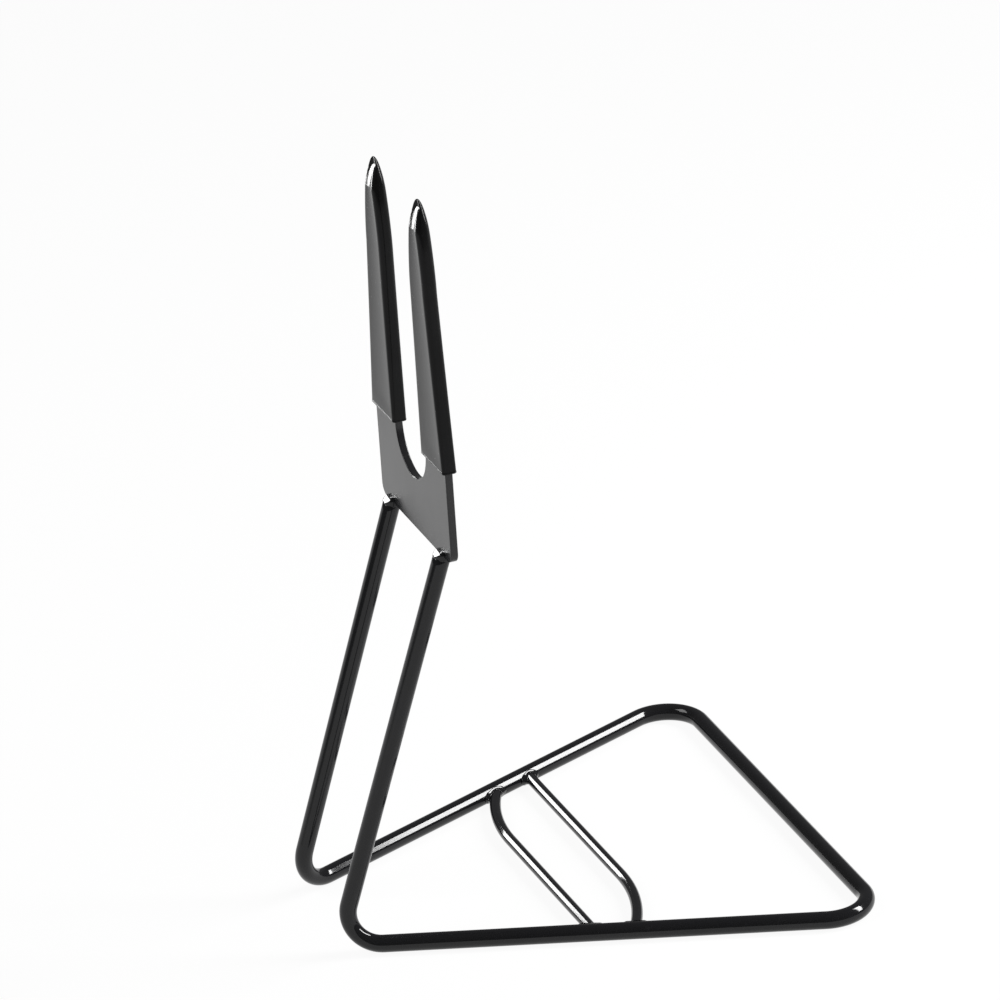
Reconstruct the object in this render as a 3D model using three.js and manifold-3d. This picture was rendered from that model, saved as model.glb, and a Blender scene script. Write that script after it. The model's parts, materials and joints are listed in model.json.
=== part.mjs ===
import * as THREE from 'three';
import { mergeVertices } from 'three/addons/utils/BufferGeometryUtils.js';
import Module from 'manifold-3d';

// Floor bike rack: one bent rod makes the base and both legs, two thinner rods cross
// the base either side of the tyre, and a slotted plate on the legs holds the rim.
// Millimetres. +Z is up, +X runs from the legs to the back of the base and +Y is on the
// left, looking along +X. The origin is on the floor, in the middle of the base.

// Bent rod
const rodDiameter = 9.2;
const legSpacing = 66.8; // between the two leg centrelines where they meet the floor
const legTopSpacing = 72.8; // between them at the plate
const legLean = 19.5; // degrees from upright, towards the back
const baseLength = 259.8; // leg corner to rear bar, between centrelines
const rearWidth = 281.5; // between the rail centrelines at the rear bar
const legBendRadius = 17;
const rearBendRadius = 21;

// Cross bars
const barDiameter = 6;
const tyreLine = 138.2; // leg corner to the middle of the tyre gap
const tyreGap = 29.7; // clear between the two bars
const barSlant = 1; // degrees, of each bar's straight run
const barArcStart = 31; // middle of the rack to the start of the curved end
const barArcRadius = 113; // of the curved end, which closes in on the other bar

// Slotted plate
const plateThickness = 4;
const plateWidth = 100.5;
const plateHeight = 183; // bottom edge to the tip of a prong
const plateBottom = 210.2; // bottom edge above the floor
const plateLean = 0.75; // degrees from upright, towards the back
const plateCorner = 6;
const slotWidth = 43.5;
const slotDepth = 153.8; // tip of a prong to the bottom of the slot
const prongTopWidth = 19.5; // where its tip begins
const prongTip = 39; // length of the narrowing tip
const tipFullness = 0.38; // roundness of the tip's two curves: 0 is straight, 0.55 an ellipse

// Sleeves
const sleeveWall = 1.5;
const sleeveStart = 50.7; // lower end above the plate's bottom edge
const sleeveOvertop = 9; // tip of a sleeve beyond the tip of its prong
const sleeveThinning = 14; // length over which the tip thins, seen from the side
const sleeveEdge = 1.4;

// Weld beads
const beadWidth = 2.4;
const plateBead = 0.9;
const plateBeadShare = 0.5; // height of the bead round a leg's top, to its width

// Clearance between pieces that touch
const gap = 0.3;

// Facets
const rodSides = 16;
const barSides = 12;
const bendSteps = 10;
const arcSteps = 8;

const rodRadius = rodDiameter / 2;
const barRadius = barDiameter / 2;
const splay = Math.atan((rearWidth - legSpacing) / 2 / baseLength);
const lean = THREE.MathUtils.degToRad(legLean);
const tilt = THREE.MathUtils.degToRad(plateLean);

const wasm = await Module();
wasm.setup();

function toSolid(geometry) {
  const bare = geometry.clone();
  bare.deleteAttribute('normal');
  bare.deleteAttribute('uv');
  const merged = mergeVertices(bare);
  const vertProperties = new Float32Array(merged.attributes.position.array);
  const triVerts = new Uint32Array(merged.index.array);
  return new wasm.Manifold(new wasm.Mesh({ numProp: 3, vertProperties, triVerts }));
}

function toGeometry(solid) {
  const { vertProperties, triVerts } = solid.getMesh();
  const geometry = new THREE.BufferGeometry();
  geometry.setAttribute('position', new THREE.BufferAttribute(vertProperties, 3));
  geometry.setIndex(new THREE.BufferAttribute(triVerts, 1));
  geometry.computeVertexNormals();
  return geometry;
}

// The largest of the bodies that a cut leaves.
function mainBody(solid) {
  return solid.decompose().reduce((a, b) => (b.volume() > a.volume() ? b : a));
}

// A centreline of straight runs and circular arcs, with stations only where it turns.
class BentLine extends THREE.Curve {
  constructor(start, direction) {
    super();
    this.stations = [{ point: start.clone(), tangent: direction.clone().normalize() }];
  }

  get end() {
    return this.stations[this.stations.length - 1];
  }

  straight(length) {
    const { point, tangent } = this.end;
    this.stations.push({
      point: point.clone().addScaledVector(tangent, length),
      tangent: tangent.clone(),
    });
    return this;
  }

  turn(direction, radius, steps) {
    const { point, tangent } = this.end;
    const target = direction.clone().normalize();
    const angle = tangent.angleTo(target);
    const inward = target.addScaledVector(tangent, -Math.cos(angle)).normalize();
    for (let i = 1; i <= steps; i++) {
      const a = (angle * i) / steps;
      this.stations.push({
        point: point
          .clone()
          .addScaledVector(tangent, radius * Math.sin(a))
          .addScaledVector(inward, radius * (1 - Math.cos(a))),
        tangent: tangent
          .clone()
          .multiplyScalar(Math.cos(a))
          .addScaledVector(inward, Math.sin(a)),
      });
    }
    return this;
  }

  stationAt(u) {
    return this.stations[Math.round(u * (this.stations.length - 1))];
  }

  getPointAt(u, target = new THREE.Vector3()) {
    return target.copy(this.stationAt(u).point);
  }

  getTangentAt(u, target = new THREE.Vector3()) {
    return target.copy(this.stationAt(u).tangent);
  }
}

// Follows a row of corner points, rounding each inner corner to its own radius.
function roundedLine(corners, radii) {
  const runs = corners.slice(1).map((corner, i) => corner.clone().sub(corners[i]));
  const setbacks = radii.map((radius, i) => radius * Math.tan(runs[i].angleTo(runs[i + 1]) / 2));
  const line = new BentLine(corners[0], runs[0]);
  runs.forEach((run, i) => {
    line.straight(run.length() - (setbacks[i - 1] ?? 0) - (setbacks[i] ?? 0));
    if (i < radii.length) line.turn(runs[i + 1], radii[i], bendSteps);
  });
  return line;
}

// A round bar along a line, as a polygon around the circle with a facet facing down.
function roundBar(line, radius, sides) {
  const steps = line.stations.length - 1;
  const frames = line.computeFrenetFrames(steps, false);
  const middle = Math.floor(steps / 2);
  const down = Math.atan2(-frames.binormals[middle].z, -frames.normals[middle].z);
  const corner = radius / Math.cos(Math.PI / sides);
  const points = Array.from({ length: sides }, (_, i) => {
    const angle = down + (Math.PI * (2 * i + 1)) / sides;
    return new THREE.Vector2(corner * Math.cos(angle), corner * Math.sin(angle));
  });
  return new THREE.ExtrudeGeometry(new THREE.Shape(points), {
    steps,
    extrudePath: line,
  });
}

// ---- Bent rod ----

const legRun = (plateBottom - rodRadius) * Math.tan(lean);

function footCorner(side) {
  return new THREE.Vector3(0, (side * legSpacing) / 2, rodRadius);
}

function legTop(side) {
  return new THREE.Vector3(legRun, (side * legTopSpacing) / 2, plateBottom);
}

// The rod is left long at the top and cut along the plate's bottom edge.
function frameCorners() {
  const beyond = (side) =>
    legTop(side).lerp(footCorner(side), -rodDiameter / plateBottom);
  const rearCorner = (side) =>
    new THREE.Vector3(baseLength, (side * rearWidth) / 2, rodRadius);
  return [
    beyond(1),
    footCorner(1),
    rearCorner(1),
    rearCorner(-1),
    footCorner(-1),
    beyond(-1),
  ];
}

function frameSolid(extra) {
  const bends = [legBendRadius, rearBendRadius, rearBendRadius, legBendRadius];
  const line = roundedLine(frameCorners(), bends);
  return toSolid(roundBar(line, rodRadius + extra, rodSides));
}

// ---- Cross bars ----

// The two bars are one shape, straight from one rail and curved towards the other; the
// rear bar is the front bar turned half round. Worked out on the front bar, with x from
// the middle of the tyre gap: turned is 1 for the front bar and -1 for the rear bar.
function barLine(turned) {
  const slant = THREE.MathUtils.degToRad(barSlant);
  const offset = (tyreGap + barDiameter) / 2;
  const slope = turned * Math.tan(splay);
  const halfWidth = legSpacing / 2 + tyreLine * Math.tan(splay);

  const along = new THREE.Vector3(-Math.sin(slant), Math.cos(slant), 0);
  const inward = new THREE.Vector3(Math.cos(slant), Math.sin(slant), 0);
  const back = (halfWidth - slope * offset) / (along.y + slope * along.x);
  const start = new THREE.Vector3(-offset, 0, 0).addScaledVector(along, -back);
  const straight = back + barArcStart;

  // Where the arc meets the rail's centreline.
  const centre = start
    .clone()
    .addScaledVector(along, straight)
    .addScaledVector(inward, barArcRadius);
  const rise = halfWidth - centre.y;
  const a = 1 + slope ** 2;
  const b = slope * rise - centre.x;
  const c = centre.x ** 2 + rise ** 2 - barArcRadius ** 2;
  const x = (-b - Math.sqrt(b ** 2 - a * c)) / a;
  const spoke = new THREE.Vector3(x, halfWidth + slope * x, 0).sub(centre);
  const sweep = spoke.angleTo(inward.clone().negate());
  const leaving = along
    .clone()
    .multiplyScalar(Math.cos(sweep))
    .addScaledVector(inward, Math.sin(sweep));

  const place = (v) => v.multiply(new THREE.Vector3(turned, turned, 1));
  place(start).add(new THREE.Vector3(tyreLine, 0, rodRadius));
  return new BentLine(start, place(along))
    .straight(straight)
    .turn(place(leaving), barArcRadius, arcSteps);
}

const frontBar = barLine(1);
const rearBar = barLine(-1);

function barSolid(line, extra) {
  return toSolid(roundBar(line, barRadius + extra, barSides));
}

// ---- Slotted plate, in its own plane: x across, y up from its bottom edge ----

// One prong's edges, pushed outwards by a margin. Its outer side runs in from the foot of
// the sleeve to where the tip begins.
function prongEdges(margin) {
  return {
    inner: slotWidth / 2 - margin,
    outer: plateWidth / 2 + margin,
    outerTop: slotWidth / 2 + prongTopWidth + margin,
  };
}

// The narrowing end of a prong, from one side over the tip to the other.
function addTip(shape, from, to, shoulder, top) {
  const middle = (from + to) / 2;
  const rise = shoulder + tipFullness * (top - shoulder);
  const reach = tipFullness * (from - middle);
  shape.bezierCurveTo(from, rise, middle + reach, top, middle, top);
  shape.bezierCurveTo(middle - reach, top, to, rise, to, shoulder);
}

const shoulder = plateHeight - prongTip;

function plateShape() {
  const { inner, outer, outerTop } = prongEdges(0);
  const slotCentre = plateHeight - slotDepth + inner;
  const corner = outer - plateCorner;
  const shape = new THREE.Shape();
  shape.moveTo(-corner, 0);
  shape.lineTo(corner, 0);
  shape.absarc(corner, plateCorner, plateCorner, -Math.PI / 2, 0, false);
  shape.lineTo(outer, sleeveStart);
  shape.lineTo(outerTop, shoulder);
  addTip(shape, outerTop, inner, shoulder, plateHeight);
  shape.lineTo(inner, slotCentre);
  shape.absarc(0, slotCentre, inner, 0, Math.PI, true);
  shape.lineTo(-inner, shoulder);
  addTip(shape, -inner, -outerTop, shoulder, plateHeight);
  shape.lineTo(-outer, sleeveStart);
  shape.lineTo(-outer, plateCorner);
  shape.absarc(-corner, plateCorner, plateCorner, Math.PI, 1.5 * Math.PI, false);
  return shape;
}

function plateGeometry() {
  return new THREE.ExtrudeGeometry(plateShape(), {
    depth: plateThickness,
    bevelEnabled: false,
    curveSegments: bendSteps,
  });
}

// ---- Sleeves, in the plate's plane ----

const sleeveTop = plateHeight + sleeveOvertop;

function prongOutline(margin, foot, top) {
  const { inner, outer, outerTop } = prongEdges(margin);
  const shape = new THREE.Shape();
  shape.moveTo(inner, foot);
  shape.lineTo(outer, foot);
  shape.lineTo(outerTop, shoulder);
  addTip(shape, outerTop, inner, shoulder, top);
  shape.lineTo(inner, foot);
  return shape;
}

// Seen from the side a sleeve is as thick as the plate and two walls, thinning at the tip.
function sleeveSide() {
  const half = plateThickness / 2 + gap + sleeveWall;
  const full = sleeveTop - sleeveThinning;
  const shape = new THREE.Shape();
  shape.moveTo(-half, sleeveStart);
  shape.lineTo(half, sleeveStart);
  shape.absellipse(0, full, half, sleeveThinning, 0, Math.PI, false, 0);
  return new THREE.ExtrudeGeometry(shape, {
    depth: plateWidth,
    bevelEnabled: false,
    curveSegments: bendSteps,
  })
    .rotateY(-Math.PI / 2)
    .translate(plateWidth, 0, plateThickness / 2);
}

function sleeveGeometry(side) {
  const wall = gap + sleeveWall;
  const thickness = plateThickness + 2 * wall;
  const outside = new THREE.ExtrudeGeometry(prongOutline(wall, sleeveStart, sleeveTop), {
    depth: thickness - 2 * sleeveEdge,
    bevelThickness: sleeveEdge,
    bevelSize: sleeveEdge,
    bevelOffset: -sleeveEdge,
    bevelSegments: 3,
    curveSegments: bendSteps,
  }).translate(0, 0, sleeveEdge - wall);
  const inside = new THREE.ExtrudeGeometry(
    prongOutline(gap, sleeveStart - sleeveEdge, plateHeight + gap),
    { depth: plateThickness + 2 * gap, bevelEnabled: false, curveSegments: bendSteps },
  ).translate(0, 0, -gap);
  const solid = toSolid(outside).intersect(toSolid(sleeveSide())).subtract(toSolid(inside));
  return toGeometry(side > 0 ? solid : solid.mirror([1, 0, 0]));
}

// ---- Placing ----

const rack = new THREE.Group();
rack.name = 'floor_bike_rack';

// The plate's plane: local x runs across to +Y, local y up, local z to the back.
const fork = new THREE.Group();
fork.setRotationFromMatrix(
  new THREE.Matrix4().makeBasis(
    new THREE.Vector3(0, 1, 0),
    new THREE.Vector3(Math.sin(tilt), 0, Math.cos(tilt)),
    new THREE.Vector3(Math.cos(tilt), 0, -Math.sin(tilt)),
  ),
);
fork.position.set(legRun, 0, plateBottom);
fork.updateMatrixWorld();

// Everything above the plate's bottom edge, less the clearance.
function abovePlate() {
  const reach = plateWidth;
  const block = new THREE.BoxGeometry(2 * reach, reach, 2 * reach)
    .translate(0, reach / 2 - gap, 0)
    .applyMatrix4(fork.matrixWorld);
  return toSolid(block);
}

function plateBlock(extra) {
  const block = new THREE.BoxGeometry(
    plateWidth + 2 * extra,
    plateWidth + extra,
    plateThickness + 2 * extra,
  )
    .translate(0, (plateWidth - extra) / 2, plateThickness / 2)
    .applyMatrix4(fork.matrixWorld);
  return toSolid(block);
}

const frame = frameSolid(0).subtract(abovePlate());
const frameRoom = frameSolid(gap).subtract(abovePlate());

// ---- Weld beads ----

// The corner between a bar's end and its rail, filled all round to within the bead's
// width of both, and kept off the floor.
function barBead(line, side) {
  const slab = new THREE.BoxGeometry(2 * baseLength, rearWidth, rodDiameter - 2 * gap)
    .translate(0, (side * rearWidth) / 2, rodRadius);
  const bead = barSolid(line, beadWidth)
    .intersect(frameSolid(beadWidth))
    .intersect(toSolid(slab))
    .subtract(frameRoom)
    .subtract(barSolid(line, gap));
  return toGeometry(mainBody(bead));
}

// A bead round the top of a leg, closing the joint to the plate's bottom edge.
function legBead(side) {
  const across = rodRadius + gap + plateBead;
  const top = legTop(side);
  const bead = new THREE.SphereGeometry(across, rodSides, bendSteps)
    .scale(1, 1, plateBeadShare)
    .translate(top.x, top.y, top.z);
  return toGeometry(toSolid(bead).subtract(frameRoom).subtract(plateBlock(gap)));
}

// ---- Materials ----

const blackPaint = new THREE.MeshStandardMaterial({
  color: 0x101112,
  roughness: 0.22,
  metalness: 0.1,
});
const satinBlack = new THREE.MeshStandardMaterial({
  color: 0x1b1c1d,
  roughness: 0.38,
  metalness: 0.1,
});
const rubber = new THREE.MeshStandardMaterial({
  color: 0x0d0d0e,
  roughness: 0.45,
  metalness: 0,
});

function add(parent, name, geometry, material) {
  const mesh = new THREE.Mesh(geometry, material);
  mesh.name = name;
  parent.add(mesh);
}

add(rack, 'frame_rod', toGeometry(frame), blackPaint);
add(rack, 'wheel_bar_front', toGeometry(barSolid(frontBar, 0).subtract(frameRoom)), blackPaint);
add(rack, 'wheel_bar_rear', toGeometry(barSolid(rearBar, 0).subtract(frameRoom)), blackPaint);
add(fork, 'fork_plate', plateGeometry(), satinBlack);
add(fork, 'sleeve_left', sleeveGeometry(1), rubber);
add(fork, 'sleeve_right', sleeveGeometry(-1), rubber);
rack.add(fork);

for (const [name, side] of [['left', 1], ['right', -1]]) {
  add(rack, `weld_leg_${name}`, legBead(side), blackPaint);
  add(rack, `weld_bar_front_${name}`, barBead(frontBar, side), blackPaint);
  add(rack, `weld_bar_rear_${name}`, barBead(rearBar, side), blackPaint);
}

const extent = new THREE.Box3().setFromObject(rack, true);
rack.position.x = -(extent.min.x + extent.max.x) / 2;

export default rack;
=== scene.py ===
import json
import math

import bmesh
import bpy
from mathutils import Matrix, Vector, noise

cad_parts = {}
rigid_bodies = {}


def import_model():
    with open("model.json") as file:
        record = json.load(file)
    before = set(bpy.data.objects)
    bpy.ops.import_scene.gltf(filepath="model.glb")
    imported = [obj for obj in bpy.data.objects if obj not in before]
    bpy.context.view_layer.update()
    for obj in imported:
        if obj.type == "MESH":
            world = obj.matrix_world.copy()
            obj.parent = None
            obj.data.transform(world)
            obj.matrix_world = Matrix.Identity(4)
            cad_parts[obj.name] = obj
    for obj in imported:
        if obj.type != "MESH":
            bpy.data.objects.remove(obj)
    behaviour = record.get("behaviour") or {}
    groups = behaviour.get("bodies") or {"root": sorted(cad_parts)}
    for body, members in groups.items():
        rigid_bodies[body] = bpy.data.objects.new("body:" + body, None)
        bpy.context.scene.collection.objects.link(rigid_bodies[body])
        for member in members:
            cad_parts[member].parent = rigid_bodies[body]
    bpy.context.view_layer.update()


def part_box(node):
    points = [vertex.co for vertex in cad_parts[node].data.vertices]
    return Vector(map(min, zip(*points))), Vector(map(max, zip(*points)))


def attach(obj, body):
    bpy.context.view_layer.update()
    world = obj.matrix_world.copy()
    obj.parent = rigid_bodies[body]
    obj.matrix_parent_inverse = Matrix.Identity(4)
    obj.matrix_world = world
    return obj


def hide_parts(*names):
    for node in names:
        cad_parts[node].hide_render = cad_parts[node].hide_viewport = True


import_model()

MM = 0.001
UP = Vector((0, 0, 1))

# ---------------------------------------------------------------- sizes, in mm
# Kept between a weld or a sleeve and the piece that it holds.
GAP = 0.3

ROD_R = 4.6
LEG_SPACING = 66.8
LEG_TOP_SPACING = 72.8
LEG_LEAN = math.radians(19.5)
BASE_LENGTH = 259.8
REAR_WIDTH = 281.5
LEG_BEND = 17.0
REAR_BEND = 21.0
BEND_FLATTENING = 0.035
END_CHAMFER = 0.5

BAR_R = 3.0
TYRE_LINE = 138.2
TYRE_GAP = 29.7
BAR_SLANT = math.radians(1.0)
BAR_ARC_START = 31.0
BAR_ARC_R = 113.0

PLATE_T = 4.0
PLATE_W = 100.5
PLATE_H = 183.0
PLATE_Z = 210.2
PLATE_LEAN = math.radians(0.75)
PLATE_CORNER = 6.0
PLATE_EDGE = 0.55
EDGE_FULLNESS = 0.6
SLOT_W = 43.5
SLOT_DEPTH = 153.8
PRONG_TOP = 19.5
PRONG_TIP = 39.0
TIP_FULLNESS = 0.38

SLEEVE_WALL = 1.5
SLEEVE_START = 50.7
SLEEVE_OVERTOP = 9.0
SLEEVE_THINNING = 18.0
SLEEVE_POINT = 0.05
SLEEVE_CORNER = 1.4
CORNER_GROWTH = 3.4
CORNER_SLOWING = 0.55
CORNER_LIMIT = 0.98
CAVITY_CORNER = 0.5
CAVITY_DEPTH = 12.0
SLEEVE_DISH = 0.35
DISH_FADE = 8.0
SLEEVE_LIP = 0.09
LIP_HEIGHT = 1.2
LIP_INSET = 0.5
BODY_START = 1.4
SCOOP_LENGTH = 15.5
SCOOP_SLOPE = 0.20
SCOOP_LIMIT = 0.95
SCOOP_EDGE = 0.95
SCOOP_WALL = 0.20

# A cross bar's weld, with the values for the left rail under 1 and the right rail under -1.
BEAD_ON_BAR = 3.4
BEAD_ON_RAIL = {1: 3.2, -1: 5.6}
BEAD_BAR_THINNING = 0.62
BEAD_RAIL_THINNING = {1: 0.62, -1: 0.80}
BEAD_HOLLOW = 0.10
BEAD_ROOT = 0.02
BEAD_RIPPLES = 11
BEAD_RIPPLE_SIZE = 0.03
BEAD_GRAIN_SIZE = 0.06
BEAD_GAP_SHARE = 0.4
BEAD_CLEARANCE = 1.0
BEAD_SEARCH = (9.0, 12.0)

# A leg's weld, with heights from the plate's bottom edge.
LEG_WELD_R = 4.78
LEG_WELD_FOOT_R = 4.2
LEG_WELD_SKIRT = (-1.3, -1.2, -0.8, -0.3)
LEG_WELD_H = 2.75
LEG_WELD_CROWN = 0.5
LEG_WELD_LOBES = 5
LEG_WELD_SWELL = 0.012
GRIND_AT = 5.4
GRIND_SLOPE = 1.30
GRIND_TWIST = 0.07

# ---------------------------------------------------------------- mesh steps
ROD_STEP = 4.0
ROD_BEND_STEPS = 28
ROD_SIDES = 44
BAR_STEP = 3.0
BAR_ARC_STEPS = 24
BAR_SIDES = 32
BEAD_RINGS = 72
BEAD_FACE_STEPS = 6
PLATE_CORNER_STEPS = 8
SLOT_STEPS = 24
TIP_STEPS = 20
EDGE_SEGMENTS = 3
SLEEVE_CORNER_STEPS = 8
SLEEVE_SIDE_STEPS = 16
SLEEVE_LIP_STEPS = 8
SLEEVE_BODY_STEPS = 36
SLEEVE_TIP_STEPS = 60
LEG_WELD_SIDES = 64
LEG_WELD_STEPS = 12
BISECTIONS = 40

# In metres, and in square metres for the area.
MERGE = 1e-7
BAR_MERGE = 2e-6
BAR_SLIVER = 1e-6
SMALL_FACE = 2e-6

SPLAY = math.atan((REAR_WIDTH - LEG_SPACING) / 2 / BASE_LENGTH)
LEG_RUN = (PLATE_Z - ROD_R) * math.tan(LEG_LEAN)
RAIL_REACH = ROD_R + GAP
SHOULDER = PLATE_H - PRONG_TIP
SLEEVE_TOP = PLATE_H + SLEEVE_OVERTOP
# The source's x starts at the leg corners; the frame's x starts in the middle of the base.
SHIFT = BASE_LENGTH + ROD_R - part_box("frame_rod")[1].x / MM


def placed(x, y, z):
    return Vector((x - SHIFT, y, z))


def angles(count):
    """A full turn in equal steps, without its end."""
    return [2 * math.pi * k / count for k in range(count)]


def bisect(low, high, before):
    """Where, between two numbers or two points, before(value) stops being true."""
    for _ in range(BISECTIONS):
        middle = (low + high) / 2
        if before(middle):
            low = middle
        else:
            high = middle
    return high


# ---------------------------------------------------------------- centrelines
class Line:
    """Straight runs and arcs, as a list of (point, tangent, how far round a bend)."""

    def __init__(self, start, direction):
        self.stations = [(start.copy(), direction.normalized(), 0.0)]

    def straight(self, length, step):
        point, tangent, _ = self.stations[-1]
        count = max(1, round(length / step))
        for i in range(1, count + 1):
            self.stations.append((point + tangent * (length * i / count), tangent, 0.0))
        return self

    def turn(self, direction, radius, steps):
        point, tangent, _ = self.stations[-1]
        target = direction.normalized()
        angle = tangent.angle(target)
        inward = (target - tangent * math.cos(angle)).normalized()
        for i in range(1, steps + 1):
            a = angle * i / steps
            here = point + tangent * (radius * math.sin(a)) + inward * (radius * (1 - math.cos(a)))
            heading = tangent * math.cos(a) + inward * math.sin(a)
            self.stations.append((here, heading.normalized(), math.sin(math.pi * i / steps)))
        return self


def rod_line():
    """Leg, rail, rear bar, rail and leg, from one cut top to the other."""

    def foot(side):
        return placed(0, side * LEG_SPACING / 2, ROD_R)

    def top(side):
        return placed(LEG_RUN, side * LEG_TOP_SPACING / 2, PLATE_Z)

    def leg_end(side):
        axis = (top(side) - foot(side)).normalized()
        return top(side) - axis * (GAP / axis.z)

    def rear(side):
        return placed(BASE_LENGTH, side * REAR_WIDTH / 2, ROD_R)

    corners = [leg_end(1), foot(1), rear(1), rear(-1), foot(-1), leg_end(-1)]
    radii = [LEG_BEND, REAR_BEND, REAR_BEND, LEG_BEND]
    runs = [b - a for a, b in zip(corners, corners[1:])]
    setback = [r * math.tan(a.angle(b) / 2) for r, a, b in zip(radii, runs, runs[1:])]
    line = Line(corners[0], runs[0])
    for i, run in enumerate(runs):
        before = setback[i - 1] if i else 0.0
        after = setback[i] if i < len(setback) else 0.0
        line.straight(run.length - before - after, ROD_STEP)
        if i < len(radii):
            line.turn(runs[i + 1], radii[i], ROD_BEND_STEPS)
    return line


def bar_line(turned):
    """A cross bar, from one rail's centreline to the other's; turned is -1 for half round."""
    offset = TYRE_GAP / 2 + BAR_R
    slope = turned * math.tan(SPLAY)
    half_width = LEG_SPACING / 2 + TYRE_LINE * math.tan(SPLAY)
    along = Vector((-math.sin(BAR_SLANT), math.cos(BAR_SLANT), 0))
    inward = Vector((math.cos(BAR_SLANT), math.sin(BAR_SLANT), 0))
    back = (half_width - slope * offset) / (along.y + slope * along.x)
    start = Vector((-offset, 0, 0)) - along * back
    straight = back + BAR_ARC_START
    centre = start + along * straight + inward * BAR_ARC_R
    # The arc ends where its circle crosses the rail's centreline, y = half_width + slope * x.
    rise = half_width - centre.y
    a = 1 + slope**2
    b = slope * rise - centre.x
    c = centre.x**2 + rise**2 - BAR_ARC_R**2
    x = (-b - math.sqrt(b * b - a * c)) / a
    spoke = Vector((x, half_width + slope * x, 0)) - centre
    sweep = spoke.angle(-inward)
    leaving = along * math.cos(sweep) + inward * math.sin(sweep)

    def turn_round(v):
        return Vector((turned * v.x, turned * v.y, v.z))

    origin = placed(TYRE_LINE, 0, ROD_R)
    line = Line(origin + turn_round(start), turn_round(along))
    return line.straight(straight, BAR_STEP).turn(turn_round(leaving), BAR_ARC_R, BAR_ARC_STEPS)


# ---------------------------------------------------------------- mesh helpers
def finish_mesh(name, bm, node, material):
    bmesh.ops.remove_doubles(bm, verts=bm.verts, dist=MERGE)
    bmesh.ops.recalc_face_normals(bm, faces=bm.faces)
    mesh = bpy.data.meshes.new(name)
    bm.to_mesh(mesh)
    bm.free()
    for polygon in mesh.polygons:
        polygon.use_smooth = True
    obj = bpy.data.objects.new(name, mesh)
    bpy.context.scene.collection.objects.link(obj)
    mesh.materials.append(material)
    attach(obj, "root")
    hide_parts(node)
    return obj


def loft(bm, rings, loop=False):
    """Joins rings of points, in mm, into one closed skin, with end caps or round to the first."""
    made = [[bm.verts.new(p * MM) for p in ring] for ring in rings]
    following = made[1:] + made[:1] if loop else made[1:]
    for low, high in zip(made, following):
        count = len(low)
        for i in range(count):
            j = (i + 1) % count
            bm.faces.new((low[i], low[j], high[j], high[i]))
    if not loop:
        bm.faces.new(made[0][::-1])
        bm.faces.new(made[-1])


def ring_spokes(line, sides):
    """For each station of a line, the directions from its centre to the points of its ring."""
    side = line.stations[0][1].orthogonal().normalized()
    for _, tangent, _ in line.stations:
        side = (side - tangent * side.dot(tangent)).normalized()
        other = tangent.cross(side)
        yield [side * math.cos(a) + other * math.sin(a) for a in angles(sides)]


# ---------------------------------------------------------------- materials
def new_material(name):
    mat = bpy.data.materials.new(name)
    mat.use_nodes = True
    nodes = mat.node_tree.nodes
    return mat, nodes, mat.node_tree.links, nodes["Principled BSDF"]


def noise_node(nodes, links, coords, scale, detail, rough):
    node = nodes.new("ShaderNodeTexNoise")
    node.inputs["Scale"].default_value = scale
    node.inputs["Detail"].default_value = detail
    node.inputs["Roughness"].default_value = rough
    links.new(coords, node.inputs["Vector"])
    return node.outputs["Fac"]


def ramp(nodes, links, value, span, result):
    """Maps a value from one span to another and holds it at the ends."""
    node = nodes.new("ShaderNodeMapRange")
    node.inputs["From Min"].default_value = span[0]
    node.inputs["From Max"].default_value = span[1]
    node.inputs["To Min"].default_value = result[0]
    node.inputs["To Max"].default_value = result[1]
    links.new(value, node.inputs["Value"])
    return node.outputs["Result"]


def socket(sockets, name, kind):
    return next(s for s in sockets if s.name == name and s.type == kind)


def mix_colour(nodes, links, share, first, second):
    node = nodes.new("ShaderNodeMix")
    node.data_type = "RGBA"
    socket(node.inputs, "A", "RGBA").default_value = (*first, 1)
    socket(node.inputs, "B", "RGBA").default_value = (*second, 1)
    links.new(share, socket(node.inputs, "Factor", "VALUE"))
    return socket(node.outputs, "Result", "RGBA")


def math_node(nodes, links, operation, *values):
    """A maths node; each value is a number or another node's output."""
    node = nodes.new("ShaderNodeMath")
    node.operation = operation
    for target, value in zip(node.inputs, values):
        if isinstance(value, float):
            target.default_value = value
        else:
            links.new(value, target)
    return node.outputs[0]


def bump(nodes, links, height, strength, distance, normal=None):
    node = nodes.new("ShaderNodeBump")
    node.inputs["Strength"].default_value = strength
    node.inputs["Distance"].default_value = distance
    links.new(height, node.inputs["Height"])
    if normal is not None:
        links.new(normal, node.inputs["Normal"])
    return node.outputs["Normal"]


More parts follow.
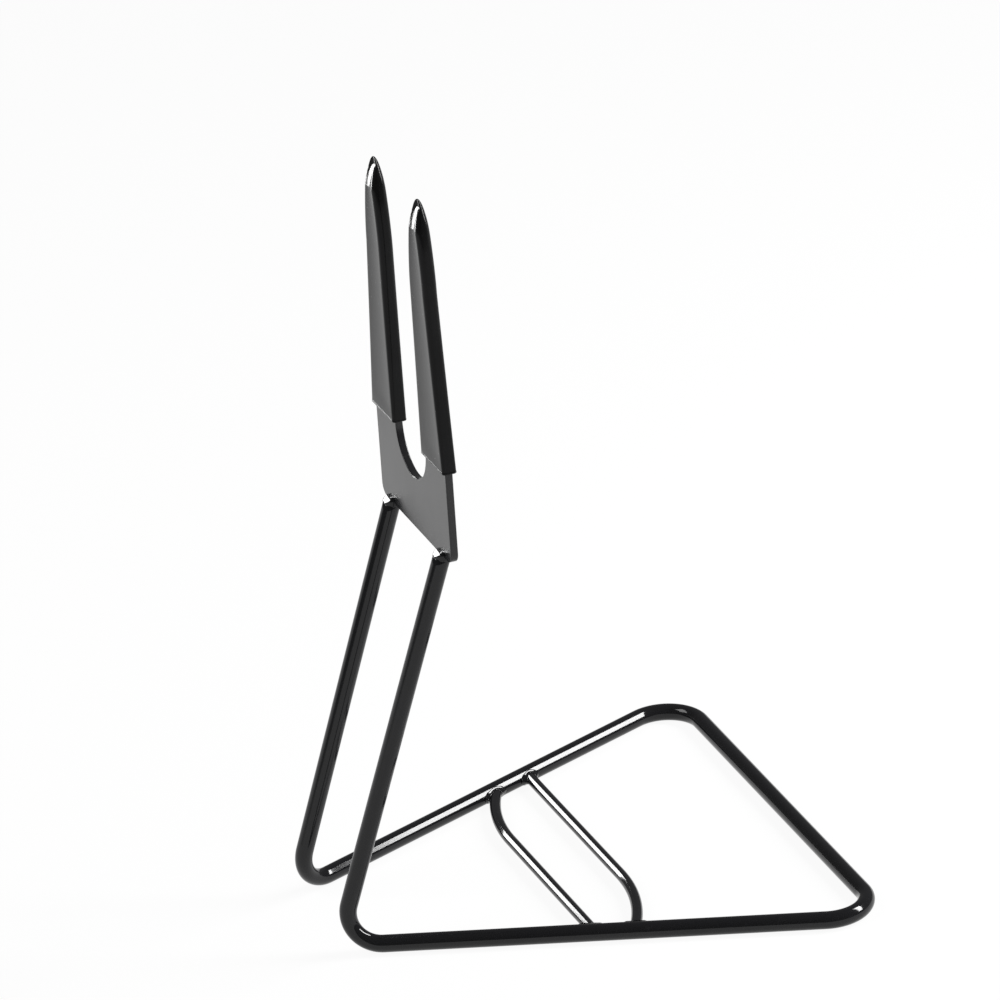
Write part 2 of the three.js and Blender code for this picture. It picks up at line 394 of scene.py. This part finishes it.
def paint_material(name, colour, worn, rough, specular, peel):
    """Sprayed enamel: orange peel, dust nibs, a patchy gloss and a few dull rubs."""
    rub_dulling = 0.12
    mat, nodes, links, bsdf = new_material(name)
    coords = nodes.new("ShaderNodeTexCoord").outputs["Object"]
    patches = noise_node(nodes, links, coords, scale=22, detail=5, rough=0.6)
    rubs = noise_node(nodes, links, coords, scale=140, detail=6, rough=0.7)
    rub_mask = ramp(nodes, links, rubs, (0.62, 0.80), (0.0, 0.5))
    links.new(mix_colour(nodes, links, rub_mask, colour, worn), bsdf.inputs["Base Color"])

    gloss = ramp(nodes, links, patches, (0.3, 0.7), (rough * 0.85, rough * 1.2))
    dulled = math_node(nodes, links, "MULTIPLY_ADD", rub_mask, rub_dulling, gloss)
    links.new(dulled, bsdf.inputs["Roughness"])

    peel_height = noise_node(nodes, links, coords, scale=420, detail=2, rough=0.5)
    nibs = noise_node(nodes, links, coords, scale=1500, detail=2, rough=0.5)
    nib_height = ramp(nodes, links, nibs, (0.68, 0.80), (0.0, 1.0))
    waves = bump(nodes, links, peel_height, strength=peel, distance=0.0002)
    bumps = bump(nodes, links, nib_height, strength=peel, distance=0.00006, normal=waves)
    links.new(bumps, bsdf.inputs["Normal"])
    bsdf.inputs["Specular IOR Level"].default_value = specular
    return mat


def rubber_material(name, colour, rubbed_colour, rough, specular):
    """Soft sleeve: fine grain, faint lengthways drag marks and rubbed patches."""
    mat, nodes, links, bsdf = new_material(name)
    coords = nodes.new("ShaderNodeTexCoord").outputs["Object"]
    patches = noise_node(nodes, links, coords, scale=36, detail=5, rough=0.6)
    rubbed = ramp(nodes, links, patches, (0.35, 0.7), (0, 1))
    links.new(mix_colour(nodes, links, rubbed, colour, rubbed_colour), bsdf.inputs["Base Color"])

    stretch = nodes.new("ShaderNodeMapping")
    stretch.inputs["Scale"].default_value = (1, 1, 0.05)
    links.new(coords, stretch.inputs["Vector"])
    drags = noise_node(nodes, links, stretch.outputs["Vector"], scale=500, detail=4, rough=0.6)
    links.new(ramp(nodes, links, drags, (0.35, 0.75), rough), bsdf.inputs["Roughness"])

    grain = noise_node(nodes, links, coords, scale=2200, detail=3, rough=0.6)
    soft = bump(nodes, links, drags, strength=0.05, distance=0.0001)
    bumps = bump(nodes, links, grain, strength=0.06, distance=0.00006, normal=soft)
    links.new(bumps, bsdf.inputs["Normal"])
    bsdf.inputs["Specular IOR Level"].default_value = specular
    return mat


ROD_PAINT = paint_material(
    "rod_enamel",
    colour=(0.008, 0.008, 0.009),
    worn=(0.030, 0.030, 0.032),
    rough=0.085,
    specular=0.32,
    peel=0.012,
)
PLATE_PAINT = paint_material(
    "plate_enamel",
    colour=(0.011, 0.011, 0.012),
    worn=(0.036, 0.036, 0.038),
    rough=0.24,
    specular=0.42,
    peel=0.05,
)
WELD_PAINT = paint_material(
    "weld_enamel",
    colour=(0.008, 0.008, 0.009),
    worn=(0.020, 0.020, 0.022),
    rough=0.12,
    specular=0.32,
    peel=0.02,
)
SLEEVE = rubber_material(
    "sleeve_rubber",
    colour=(0.004, 0.004, 0.0043),
    rubbed_colour=(0.008, 0.008, 0.0083),
    rough=(0.14, 0.20),
    specular=0.13,
)


# ---------------------------------------------------------------- bent rod
def rod_end(ring, station, outward):
    """An end's smaller outer ring, and its full ring moved in by the chamfer."""
    point, tangent, _ = station
    small = [point + (p - point) * ((ROD_R - END_CHAMFER) / ROD_R) for p in ring]
    return small, [p - tangent * (outward * END_CHAMFER) for p in ring]


def make_rod():
    """The round rod, a little flatter in the plane of each bend, with chamfered ends."""
    line = rod_line()
    stations = line.stations
    rings = []
    for i, spokes in enumerate(ring_spokes(line, ROD_SIDES)):
        point, _, bend = stations[i]
        radii = [ROD_R] * ROD_SIDES
        if bend > 0:
            inward = (stations[i + 1][1] - stations[i - 1][1]).normalized()
            radii = [ROD_R * (1 - BEND_FLATTENING * bend * s.dot(inward) ** 2) for s in spokes]
        rings.append([point + s * r for s, r in zip(spokes, radii)])
    first, second = rod_end(rings[0], stations[0], -1)
    last, second_last = rod_end(rings[-1], stations[-1], 1)
    bm = bmesh.new()
    loft(bm, [first, second, *rings[1:-1], second_last, last])
    finish_mesh("bent_rod", bm, "frame_rod", ROD_PAINT)


make_rod()


# ---------------------------------------------------------------- cross bars
def rail_axis(side):
    """A point on a rail's centreline and its direction."""
    direction = Vector((math.cos(SPLAY), side * math.sin(SPLAY), 0))
    return placed(0, side * LEG_SPACING / 2, ROD_R), direction


def in_rail(point, side, reach=RAIL_REACH):
    """Whether a point is nearer than reach to a rail's centreline."""
    origin, direction = rail_axis(side)
    offset = point - origin
    return (offset - direction * offset.dot(direction)).length < reach


def cut_at_rail(points, side):
    """Points along a bar, with those inside the rail all moved to where the bar comes out."""
    first = next(i for i, p in enumerate(points) if not in_rail(p, side))
    edge = bisect(points[first - 1], points[first], lambda p: in_rail(p, side))
    return [edge] * first + points[first:]


def make_bar(name, node, line):
    """A cross bar, its two ends cut to lie against the round of the rails."""
    rings = [
        [point + s * BAR_R for s in spokes]
        for (point, _, _), spokes in zip(line.stations, ring_spokes(line, BAR_SIDES))
    ]
    side = 1 if line.stations[0][0].y > 0 else -1
    columns = []
    for column in zip(*rings):
        points = cut_at_rail(list(column), side)
        columns.append(cut_at_rail(points[::-1], -side)[::-1])
    bm = bmesh.new()
    loft(bm, list(zip(*columns)))
    bmesh.ops.remove_doubles(bm, verts=bm.verts, dist=BAR_MERGE)
    bmesh.ops.dissolve_degenerate(bm, edges=bm.edges, dist=BAR_SLIVER)
    finish_mesh(name, bm, node, ROD_PAINT)


front_line = bar_line(1)
rear_line = bar_line(-1)
make_bar("front_cross_bar", "wheel_bar_front", front_line)
make_bar("rear_cross_bar", "wheel_bar_rear", rear_line)


# ---------------------------------------------------------------- cross bars' welds
def bead_ring(turn, root, on_bar, on_rail, rail_spread):
    """A fillet's section: its root, then a hollow, rippled face from the bar to the rail."""
    grain = noise.noise(Vector((2 * math.cos(turn), 2 * math.sin(turn), BEAD_RIPPLES)))
    swell = 1 + BEAD_RIPPLE_SIZE * math.sin(BEAD_RIPPLES * turn) + BEAD_GRAIN_SIZE * grain
    start = root + on_bar * BEAD_ON_BAR * swell
    end = root + on_rail * rail_spread * swell
    depth = BEAD_HOLLOW * (BEAD_ON_BAR + rail_spread) / 2 * swell
    hollow = (on_bar + on_rail).normalized() * depth
    shares = [j / BEAD_FACE_STEPS for j in range(BEAD_FACE_STEPS + 1)]
    face = [start.lerp(end, u) - hollow * math.sin(math.pi * u) for u in shares]
    return [root - (on_bar + on_rail) * BEAD_ROOT, *face]


def bar_weld(name, node, line, side):
    """The fillet round a cross bar where it meets a rail."""
    points = [point for point, _, _ in line.stations]
    if points[0].y * side < 0:
        points.reverse()
    origin, direction = rail_axis(side)
    index = next(i for i, p in enumerate(points) if not in_rail(p, side, RAIL_REACH + BEAD_CLEARANCE))
    meet = points[index]
    away = (points[index + 1] - points[index - 1]).normalized()
    flat = away.cross(UP).normalized()
    hold = BAR_R + GAP * BEAD_GAP_SHARE
    low, high = meet - away * BEAD_SEARCH[0], meet + away * BEAD_SEARCH[1]

    rings = []
    for turn in angles(BEAD_RINGS):
        out = flat * math.cos(turn) + UP * math.sin(turn)
        root = bisect(low, high, lambda p: in_rail(p + out * hold, side)) + out * hold
        foot = origin + direction * (root - origin).dot(direction)
        normal = (root - foot).normalized()
        level = abs(out.z)
        on_bar = away * (1 - BEAD_BAR_THINNING * level)
        on_rail = (out - normal * out.dot(normal)).normalized()
        on_rail *= 1 - BEAD_RAIL_THINNING[side] * level
        rings.append(bead_ring(turn, root, on_bar, on_rail, BEAD_ON_RAIL[side]))
    bm = bmesh.new()
    loft(bm, rings, loop=True)
    finish_mesh(name, bm, node, WELD_PAINT)


for label, side in (("left", 1), ("right", -1)):
    bar_weld(f"front_bar_weld_{label}", f"weld_bar_front_{label}", front_line, side)
    bar_weld(f"rear_bar_weld_{label}", f"weld_bar_rear_{label}", rear_line, side)


# ---------------------------------------------------------------- plate
LEAN = Matrix(
    (
        (0, math.sin(PLATE_LEAN), math.cos(PLATE_LEAN)),
        (1, 0, 0),
        (0, math.cos(PLATE_LEAN), -math.sin(PLATE_LEAN)),
    )
)
PLATE_FOOT = placed(LEG_RUN, 0, PLATE_Z)


def on_plate(across, up, deep):
    """From the plate's own plane (across, up from the bottom edge, back from the face)."""
    return PLATE_FOOT + LEAN @ Vector((across, up, deep))


def arc_points(x, y, radius, start, sweep, steps):
    turns = [start + sweep * i / steps for i in range(steps + 1)]
    return [(x + radius * math.cos(a), y + radius * math.sin(a)) for a in turns]


def bezier(t, first, second, third, fourth):
    s = 1 - t
    return s**3 * first + 3 * s**2 * t * second + 3 * s * t**2 * third + t**3 * fourth


def tip_width(share):
    """Half the width of a prong's tip, from 1 where it begins to 0 at its top."""
    t = bisect(0.0, 1.0, lambda t: bezier(t, 0, TIP_FULLNESS, 1, 1) < share)
    return bezier(t, 1, 1, TIP_FULLNESS, 0)


def plate_outline():
    half = PLATE_W / 2
    slot_r = SLOT_W / 2
    slot_y = PLATE_H - SLOT_DEPTH + slot_r
    middle = slot_r + PRONG_TOP / 2
    quarter = math.pi / 2
    shares = [math.sin(quarter * i / TIP_STEPS) for i in range(TIP_STEPS + 1)]
    rise = [(PRONG_TOP / 2 * tip_width(s), SHOULDER + PRONG_TIP * s) for s in shares]
    corner = half - PLATE_CORNER, PLATE_CORNER
    right = arc_points(*corner, PLATE_CORNER, -quarter, quarter, PLATE_CORNER_STEPS)
    right.append((half, SLEEVE_START))
    right += [(middle + w, y) for w, y in rise[:-1]]
    right += [(middle - w, y) for w, y in rise[::-1]]
    right += arc_points(0, slot_y, slot_r, 0, -quarter, SLOT_STEPS)
    left = [(-x, y) for x, y in right[::-1]]
    return right + left[1:]


def make_plate():
    bm = bmesh.new()
    outline = plate_outline()
    front = [bm.verts.new(on_plate(x, y, 0) * MM) for x, y in outline]
    back = [bm.verts.new(on_plate(x, y, PLATE_T) * MM) for x, y in outline]
    bm.faces.new(front)
    bm.faces.new(back[::-1])
    count = len(outline)
    for i in range(count):
        j = (i + 1) % count
        bm.faces.new((front[i], front[j], back[j], back[i]))
    bmesh.ops.recalc_face_normals(bm, faces=bm.faces)
    rim = [e for e in bm.edges if any(len(f.verts) > 4 for f in e.link_faces)]
    bmesh.ops.bevel(
        bm,
        geom=rim,
        offset=PLATE_EDGE * MM,
        segments=EDGE_SEGMENTS,
        profile=EDGE_FULLNESS,
        affect="EDGES",
    )
    bmesh.ops.triangulate(bm, faces=[f for f in bm.faces if len(f.verts) > 4])
    obj = finish_mesh("slotted_plate", bm, "fork_plate", PLATE_PAINT)
    for polygon in obj.data.polygons:
        polygon.use_smooth = polygon.area < SMALL_FACE or len(polygon.vertices) > 3


make_plate()


# ---------------------------------------------------------------- sleeves
def rounded_rectangle(half_x, half_y, radius, dish):
    """Points of a rectangle with round corners, its two long sides sunk a little."""
    points = []
    x, y = half_x - radius, half_y - radius
    quarter = math.pi / 2
    for i, (sx, sy) in enumerate(((1, 1), (-1, 1), (-1, -1), (1, -1))):
        points += arc_points(sx * x, sy * y, radius, i * quarter, quarter, SLEEVE_CORNER_STEPS)
        if i in (0, 2):
            for k in range(1, SLEEVE_SIDE_STEPS):
                t = 2 * k / SLEEVE_SIDE_STEPS - 1
                points.append((-sy * t * x, sy * (half_y - dish * (1 - t * t))))
    return points


def scooped(x, y, half_x, half_y, scoop, side):
    """A point's depth once the front is cut back, up to a wall near the sleeve's left edge."""
    if y >= 0:
        return y
    across = (x * side / half_x + 1) / 2
    wall = min(1.0, max(0.0, (SCOOP_EDGE - across) / SCOOP_WALL))
    return y * (1 - scoop / half_y * wall * wall * (3 - 2 * wall))


def sleeve_section(up, margin, side, corner, dish=0.0):
    """The outline round a prong at one height, in the plate's plane."""
    share = min(1.0, (up - SLEEVE_START) / (SHOULDER - SLEEVE_START))
    inner = SLOT_W / 2
    outer = PLATE_W / 2 + (inner + PRONG_TOP - PLATE_W / 2) * share
    middle = (inner + outer) / 2
    half_across = (outer - inner) / 2 + margin
    half_deep = PLATE_T / 2 + margin
    if up > SHOULDER:
        half_across *= tip_width((up - SHOULDER) / (SLEEVE_TOP - SHOULDER))
    if up > SLEEVE_TOP - SLEEVE_THINNING:
        t = (up - SLEEVE_TOP + SLEEVE_THINNING) / SLEEVE_THINNING
        half_deep *= math.sqrt(max(0.0, 1 - t * t))
        dish *= 1 - t
    half_across = max(half_across, SLEEVE_POINT)
    half_deep = max(half_deep, SLEEVE_POINT)
    radius = min(corner, CORNER_LIMIT * half_across, CORNER_LIMIT * half_deep)
    scoop = max(0.0, up - SLEEVE_TOP + SCOOP_LENGTH) * SCOOP_SLOPE
    scoop = min(scoop, SCOOP_LIMIT * half_deep)
    points = [
        (x, scooped(x, y, half_across, half_deep, scoop, side))
        for x, y in rounded_rectangle(half_across, half_deep, radius, dish)
    ]
    return [on_plate(side * (middle + x), up, PLATE_T / 2 + y) for x, y in points]


def make_sleeve(name, node, side):
    """A sleeve's skin: up the cavity's mouth, round the lower lip and over the outside."""
    wall = GAP + SLEEVE_WALL
    mouth = (SLEEVE_START + CAVITY_DEPTH, SLEEVE_START)
    rings = [sleeve_section(up, GAP, side, CAVITY_CORNER) for up in mouth]
    for i in range(SLEEVE_LIP_STEPS + 1):
        a = math.pi * i / SLEEVE_LIP_STEPS
        inset = LIP_INSET * (1 - math.sin(a)) if 2 * i < SLEEVE_LIP_STEPS else 0.0
        up = SLEEVE_START + LIP_HEIGHT / 2 * (1 - math.cos(a))
        lip = wall + SLEEVE_LIP * math.sin(a) - inset
        rings.append(sleeve_section(up, lip, side, SLEEVE_CORNER))

    foot = SLEEVE_START + BODY_START
    body = [i / SLEEVE_BODY_STEPS for i in range(SLEEVE_BODY_STEPS)]
    tip = [math.sin(math.pi / 2 * i / SLEEVE_TIP_STEPS) for i in range(SLEEVE_TIP_STEPS + 1)]
    heights = [foot + (SHOULDER - foot) * s for s in body]
    heights += [SHOULDER + (SLEEVE_TOP - SHOULDER) * s for s in tip]
    for up in heights:
        rise = (up - SLEEVE_START) / (SLEEVE_TOP - SLEEVE_START)
        corner = SLEEVE_CORNER + CORNER_GROWTH * rise * (1 - CORNER_SLOWING * rise)
        dish = SLEEVE_DISH * min(1.0, (up - foot) / DISH_FADE)
        rings.append(sleeve_section(up, wall, side, corner, dish))
    bm = bmesh.new()
    loft(bm, rings)
    finish_mesh(name, bm, node, SLEEVE)


make_sleeve("prong_sleeve_left", "sleeve_left", 1)
make_sleeve("prong_sleeve_right", "sleeve_right", -1)


# ---------------------------------------------------------------- leg welds
def leg_weld(name, node, side):
    """The bead on the cut top of a leg, sloping up to the plate's front."""
    centre = placed(LEG_RUN, side * LEG_TOP_SPACING / 2, PLATE_Z)
    above = [LEG_WELD_H * i / LEG_WELD_STEPS for i in range(LEG_WELD_STEPS + 1)]
    rings = []
    for z in [*LEG_WELD_SKIRT, *above]:
        radius = LEG_WELD_R - LEG_WELD_CROWN * max(0.0, z / LEG_WELD_H) ** 3
        if z == LEG_WELD_SKIRT[0]:
            radius = LEG_WELD_FOOT_R
        slope = GRIND_AT - GRIND_SLOPE * max(0.0, z)
        ring = []
        for a in angles(LEG_WELD_SIDES):
            swell = 1 + LEG_WELD_SWELL * math.sin(LEG_WELD_LOBES * a + 2 * side)
            x = radius * swell * math.cos(a)
            y = radius * swell * math.sin(a)
            ring.append(centre + Vector((max(x, -slope + GRIND_TWIST * y), y, z)))
        rings.append(ring)
    bm = bmesh.new()
    loft(bm, rings)
    finish_mesh(name, bm, node, WELD_PAINT)


for label, side in (("left", 1), ("right", -1)):
    leg_weld(f"leg_weld_{label}", f"weld_leg_{label}", side)


# ---------------------------------------------------------------- floor
FLOOR_HALF = 14.0
FLOOR_GREY = 0.86
FLOOR_ROUGHNESS = 0.9
FLOOR_WHITE_SEEN = 0.93


def floor_material():
    """A diffuse floor, all white in mirror reflections and mostly white to the camera."""
    mat, nodes, links, bsdf = new_material("floor_white")
    bsdf.inputs["Base Color"].default_value = (FLOOR_GREY, FLOOR_GREY, FLOOR_GREY, 1)
    bsdf.inputs["Roughness"].default_value = FLOOR_ROUGHNESS
    bsdf.inputs["Specular IOR Level"].default_value = 0.0
    white = nodes.new("ShaderNodeEmission")
    white.inputs["Color"].default_value = (1, 1, 1, 1)
    white.inputs["Strength"].default_value = 1.0
    path = nodes.new("ShaderNodeLightPath").outputs
    seen = math_node(nodes, links, "MULTIPLY", path["Is Camera Ray"], FLOOR_WHITE_SEEN)
    share = math_node(nodes, links, "ADD", path["Is Glossy Ray"], seen)
    mix = nodes.new("ShaderNodeMixShader")
    links.new(share, mix.inputs[0])
    links.new(bsdf.outputs[0], mix.inputs[1])
    links.new(white.outputs[0], mix.inputs[2])
    links.new(mix.outputs[0], nodes["Material Output"].inputs["Surface"])
    return mat


def make_floor():
    corners = ((-1, -1), (1, -1), (1, 1), (-1, 1))
    bm = bmesh.new()
    bm.faces.new([bm.verts.new(Vector((x, y, 0)) * FLOOR_HALF) for x, y in corners])
    mesh = bpy.data.meshes.new("floor")
    bm.to_mesh(mesh)
    bm.free()
    mesh.materials.append(floor_material())
    obj = bpy.data.objects.new("floor", mesh)
    bpy.context.scene.collection.objects.link(obj)


make_floor()


# ---------------------------------------------------------------- light
def area_light(name, location, target, size_x, size_y, power):
    data = bpy.data.lights.new(name, "AREA")
    data.shape = "RECTANGLE"
    data.size = size_x
    data.size_y = size_y
    data.energy = power
    obj = bpy.data.objects.new(name, data)
    bpy.context.scene.collection.objects.link(obj)
    obj.location = location
    direction = Vector(target) - obj.location
    obj.rotation_euler = direction.to_track_quat("-Z", "Y").to_euler()
    return obj


def curved_softbox(name, target, axis, span, radius, start, end, width, glow, only=None):
    """A softbox bent round an axis through a target, shifted along it, as a row of panels."""
    panels = 5
    target = Vector(target)
    axis = Vector(axis).normalized()
    level = axis.cross(UP).normalized()
    rise = level.cross(axis)
    length = radius * math.radians(end - start) / panels
    power = glow * math.pi * length * width
    for i in range(panels):
        a = math.radians(start + (end - start) * (i + 0.5) / panels)
        tangent = rise * math.cos(a) - level * math.sin(a)
        place = target + axis * span + (level * math.cos(a) + rise * math.sin(a)) * radius
        facing = (target - place).normalized()
        light = area_light(f"{name}_{i}", place, target, length, width, power)
        light.matrix_world = Matrix((tangent, tangent.cross(facing), -facing)).transposed().to_4x4()
        light.matrix_world.translation = place
        if only:
            light.light_linking.receiver_collection = only


def receivers(name, words):
    """The pieces that one lamp lights, by words in their names."""
    group = bpy.data.collections.new(name)
    for obj in bpy.context.scene.collection.objects:
        if any(word in obj.name for word in words):
            group.objects.link(obj)
    return group


area_light("key", (-1.9, 0.5, 2.0), (0, 0, 0.1), size_x=1.4, size_y=1.4, power=35)
curved_softbox(
    "left_strip",
    target=(-0.007, -0.093, 0.0046),
    axis=(0, 1, 0),
    span=1.134,
    radius=0.70,
    start=100,
    end=168,
    width=0.16,
    glow=22,
    only=receivers("all_but_rod", ("cross_bar", "leg_weld", "plate", "sleeve")),
)
tip_strip = area_light(
    "tip_strip", (-0.445, 0.765, 0.28), (-0.058, 0, 0.385), size_x=0.15, size_y=0.34, power=2.0
)
tip_strip.light_linking.receiver_collection = receivers("sleeves", ("sleeve",))
curved_softbox(
    "right_softbox",
    target=(-0.003, 0.087, 0.0046),
    axis=rail_axis(1)[1],
    span=0.96,
    radius=1.28,
    start=22,
    end=76,
    width=0.26,
    glow=33,
)

WORLD_STRENGTH = 0.15
world = bpy.data.worlds.new("studio")
bpy.context.scene.world = world
world.use_nodes = True
background = world.node_tree.nodes["Background"]
background.inputs["Color"].default_value = (1, 1, 1, 1)
background.inputs["Strength"].default_value = WORLD_STRENGTH

# ---------------------------------------------------------------- camera
# Solved on the photo: the place in mm in the source's x, and the image's own directions.
CAMERA_AT = placed(-966.036, -3149.268, 1775.815)
RIGHT = Vector((0.931127, -0.357169, -0.073703))
DOWN = Vector((-0.214635, -0.373304, -0.902539))
AHEAD = Vector((0.294845, 0.856198, -0.424255))
FOCAL_PIXELS = 7241.58
IMAGE_PIXELS = 1000.0
SENSOR = 36.0
SIGHT = 50.0

camera_data = bpy.data.cameras.new("camera")
camera_data.sensor_fit = "HORIZONTAL"
camera_data.sensor_width = SENSOR
camera_data.lens = SENSOR * FOCAL_PIXELS / IMAGE_PIXELS
camera_data.clip_end = SIGHT
camera = bpy.data.objects.new("camera", camera_data)
bpy.context.scene.collection.objects.link(camera)
turn = Matrix((RIGHT, -DOWN, -AHEAD)).transposed().to_4x4()
camera.matrix_world = Matrix.Translation(CAMERA_AT * MM) @ turn
bpy.context.scene.camera = camera

bpy.context.scene.view_settings.view_transform = "Standard"
